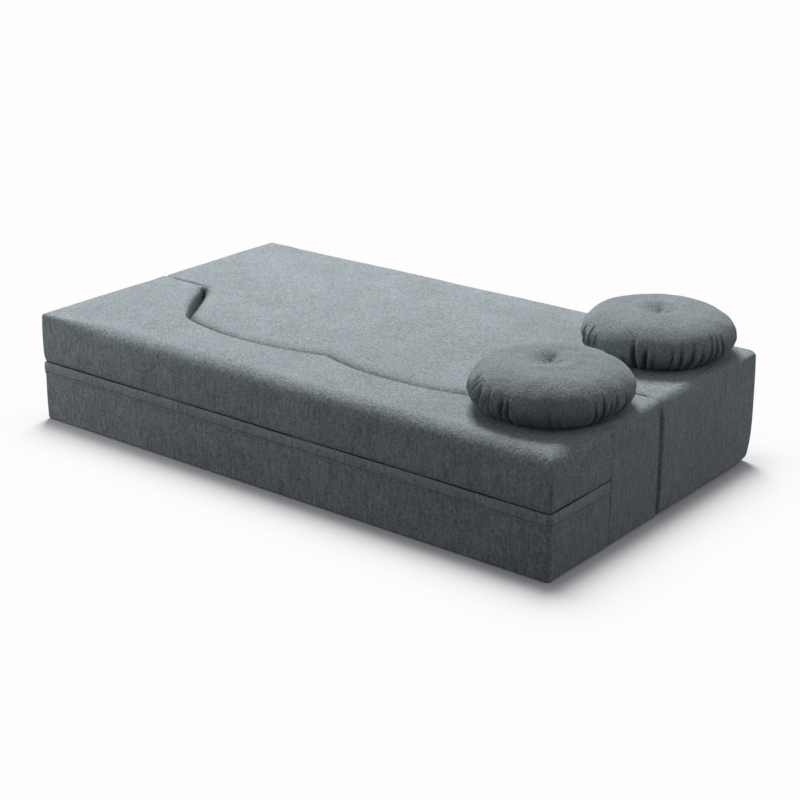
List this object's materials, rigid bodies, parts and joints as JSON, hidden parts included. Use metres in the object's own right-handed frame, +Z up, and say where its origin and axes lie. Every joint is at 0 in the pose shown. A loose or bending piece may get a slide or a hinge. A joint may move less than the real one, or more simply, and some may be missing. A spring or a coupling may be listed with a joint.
{
  "type": "folding sofa bed",
  "caption": "Foam sofa bed laid flat: a back block hinged to a seat block with a scalloped joint, covered in chenille, with round tufted pillows.",
  "frame": {"origin": "middle of the floor contact, at the fold between the two blocks", "axes": "+X along the width, +Y from the front to the far side, +Z up"},
  "size_m": [2, 1.155, 0.4833],
  "materials": {
    "chenille": "soft short-pile chenille with a streaky nap",
    "flap_chenille": "chenille strip cut across the nap",
    "base_cloth": "plain non-slip woven cloth",
    "pillow_cloth": "chenille with a fine diagonal rib",
    "foam": "open-cell foam",
    "soft_foam": "softer open-cell foam",
    "fibre": "loose fibre filling",
    "thread": "twisted thread",
    "webbing": "tightly woven tape",
    "zip_tape": "woven zip tape",
    "zip_chain": "moulded coil",
    "zip_metal": "dark lacquer"
  },
  "bodies": {
    "seat_block": {"seat_foam_base": "foam", "seat_comfort_foam": "soft_foam", "seat_top_panel": "chenille", "seat_outer_border": "chenille", "seat_tongue_border": "chenille", "seat_base_panel": "base_cloth", "seat_zip_flap": "flap_chenille", "seat_zip_tapes": "zip_tape", "seat_zip_chain": "zip_chain", "seat_zip_stops": "zip_metal", "hinge_seat_strips": "webbing", "hinge_bead": "webbing"},
    "back_block": {"back_foam_base": "foam", "back_comfort_foam": "soft_foam", "back_top_panel": "chenille", "back_upper_border": "chenille", "back_lower_border": "chenille", "back_end_panels": "chenille", "back_base_panel": "base_cloth", "back_zip_flap": "flap_chenille", "back_zip_tapes": "zip_tape", "back_zip_chain": "zip_chain", "back_zip_stops": "zip_metal", "hinge_back_strips": "webbing"},
    "near_pillow": {"near_pillow_cover": "pillow_cloth", "near_pillow_filling": "fibre", "near_pillow_tuft_stitch": "thread"},
    "far_pillow": {"far_pillow_cover": "pillow_cloth", "far_pillow_filling": "fibre", "far_pillow_tuft_stitch": "thread"},
    "back_zip_runner": {"back_zip_slider": "zip_metal", "back_zip_pull": "zip_metal"},
    "seat_zip_runner": {"seat_zip_slider": "zip_metal", "seat_zip_pull": "zip_metal"}
  },
  "joints": [
    {"name": "back_fold", "type": "hinge", "parent": "seat_block", "child": "back_block", "pos_m": [0, 0, 0.3653], "axis": [-1, 0, 0], "range_deg": [0, 180]},
    {"name": "near_pillow_move", "type": "hinge", "parent": "seat_block", "child": "near_pillow", "pos_m": [0.466, -0.236, 1.2528], "axis": [-0.1392, -0.9903, 0], "range_deg": [0, 300.01]},
    {"name": "far_pillow_move", "type": "slide", "parent": "seat_block", "child": "far_pillow", "axis": [-0.9569, -0.2905, 0], "range_m": [0, 1.1705]},
    {"name": "back_zip_slide", "type": "slide", "parent": "back_block", "child": "back_zip_runner", "axis": [0, -1, 0], "range_m": [0, 0.195]},
    {"name": "seat_zip_slide", "type": "slide", "parent": "seat_block", "child": "seat_zip_runner", "axis": [1, 0, 0], "range_m": [0, 1.72]}
  ],
  "couplings": [
    {"joint": "near_pillow_move", "follows": "back_fold", "ratio": 1.6667},
    {"joint": "far_pillow_move", "follows": "back_fold", "m_per_rad": 0.37257}
  ]
}
